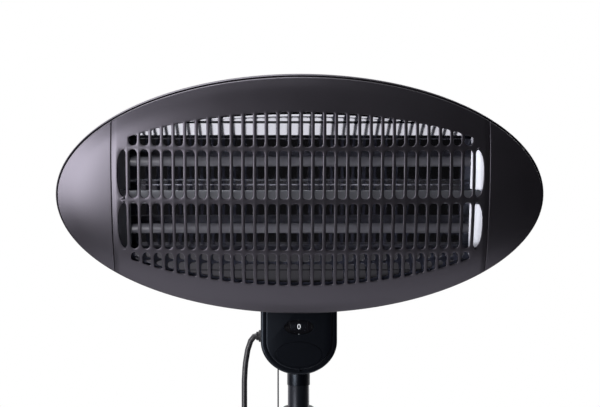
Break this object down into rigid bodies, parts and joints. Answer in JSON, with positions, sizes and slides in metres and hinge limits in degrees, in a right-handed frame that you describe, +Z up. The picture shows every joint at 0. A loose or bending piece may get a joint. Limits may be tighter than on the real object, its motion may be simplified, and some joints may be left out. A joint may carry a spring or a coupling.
{
  "type": "outdoor heater",
  "caption": "Free-standing patio heater with an oval tilting quartz heating head, a pull-cord switch box, a telescopic pole and a round weighted base.",
  "frame": {"origin": "middle of the base where its feet meet the floor", "axes": "+Z up the pole, the heating face looks along -Y, +X to the right as seen from the front of the heater"},
  "size_m": [0.59, 0.45, 1.7049],
  "materials": {
    "anthracite_paint": "satin metallic anthracite powder coat",
    "zinc_steel": "zinc plated",
    "black_plastic": "semi-gloss moulded black",
    "black_rubber": "matt black flexible rubber",
    "braided_cord": "fine braided cord",
    "polished_aluminium": "mirror-polished sheet",
    "frosted_quartz": "milky quartz tube",
    "resistance_wire": "oxidised wound wire",
    "white_ceramic": "unglazed steatite",
    "clear_window": "smoked clear plastic",
    "moulded_plastic": "plain moulded insulating plastic"
  },
  "bodies": {
    "base": {"base_cover": "anthracite_paint", "ballast_plate": "zinc_steel", "base_foot_1": "black_rubber", "base_foot_2": "black_rubber", "base_foot_3": "black_rubber", "base_foot_4": "black_rubber", "base_bolt": "zinc_steel", "base_socket": "anthracite_paint", "lower_pole": "anthracite_paint", "upper_pole": "anthracite_paint", "pole_joiner": "zinc_steel", "guide_bush": "black_plastic", "clamp_collar": "black_plastic", "mains_cord": "black_rubber", "mains_coil": "black_rubber", "mains_tail": "black_rubber", "mains_plug": "black_rubber", "coil_tie": "black_rubber"},
    "clamp_knob": {"clamp_knob": "black_plastic"},
    "mast": {"sliding_mast": "anthracite_paint", "neck_socket": "black_plastic", "tilt_lug": "zinc_steel", "switch_box_rear": "black_plastic", "switch_box_front": "black_plastic", "indicator_window": "clear_window", "badge_plate": "black_plastic", "pull_switch": "moulded_plastic", "terminal_block": "moulded_plastic", "tip_over_switch": "moulded_plastic", "cord_gland": "black_rubber", "box_screw_upper": "zinc_steel", "box_screw_lower": "zinc_steel"},
    "drum": {"indicator_drum": "black_plastic"},
    "pull": {"pull_cord": "braided_cord", "pull_knob": "black_plastic"},
    "head": {"tilt_fork": "anthracite_paint", "fork_screw_left": "zinc_steel", "fork_screw_right": "zinc_steel", "pivot_bolt": "zinc_steel", "pivot_washer": "zinc_steel", "rear_housing": "anthracite_paint", "rim_band": "anthracite_paint", "front_grille": "anthracite_paint", "end_cap_left": "anthracite_paint", "end_cap_right": "anthracite_paint", "reflector_upper": "polished_aluminium", "reflector_lower": "polished_aluminium", "reflector_end_left": "polished_aluminium", "reflector_end_right": "polished_aluminium", "quartz_tube_upper": "frosted_quartz", "quartz_tube_lower": "frosted_quartz", "heating_coil_upper": "resistance_wire", "heating_coil_lower": "resistance_wire", "tube_holder_upper_left": "white_ceramic", "tube_holder_upper_right": "white_ceramic", "tube_holder_lower_left": "white_ceramic", "tube_holder_lower_right": "white_ceramic", "guard_rod_upper": "zinc_steel", "guard_rod_lower": "zinc_steel"},
    "tilt_knob": {"tilt_knob": "black_plastic"}
  },
  "joints": [
    {"name": "pole_height", "type": "slide", "parent": "base", "child": "mast", "axis": [0, 0, 1], "range_m": [0, 0.3]},
    {"name": "head_tilt", "type": "hinge", "parent": "mast", "child": "head", "pos_m": [0, 0.008, 1.5], "axis": [1, 0, 0], "range_deg": [-12, 20]},
    {"name": "tilt_knob_turn", "type": "hinge", "parent": "head", "child": "tilt_knob", "pos_m": [0, 0.008, 1.5], "axis": [1, 0, 0], "range_deg": [0, 360]},
    {"name": "clamp_knob_turn", "type": "hinge", "parent": "base", "child": "clamp_knob", "pos_m": [0, 0, 1.268], "axis": [0, 1, 0], "range_deg": [-360, 0]},
    {"name": "switch_pull", "type": "slide", "parent": "mast", "child": "pull", "axis": [0, 0, -1], "range_m": [0, 0.012], "stiffness_N_per_m": 250, "springref_m": -0.01},
    {"name": "indicator_turn", "type": "hinge", "parent": "mast", "child": "drum", "pos_m": [0, -0.0135, 1.3923], "axis": [1, 0, 0], "continuous": true}
  ]
}
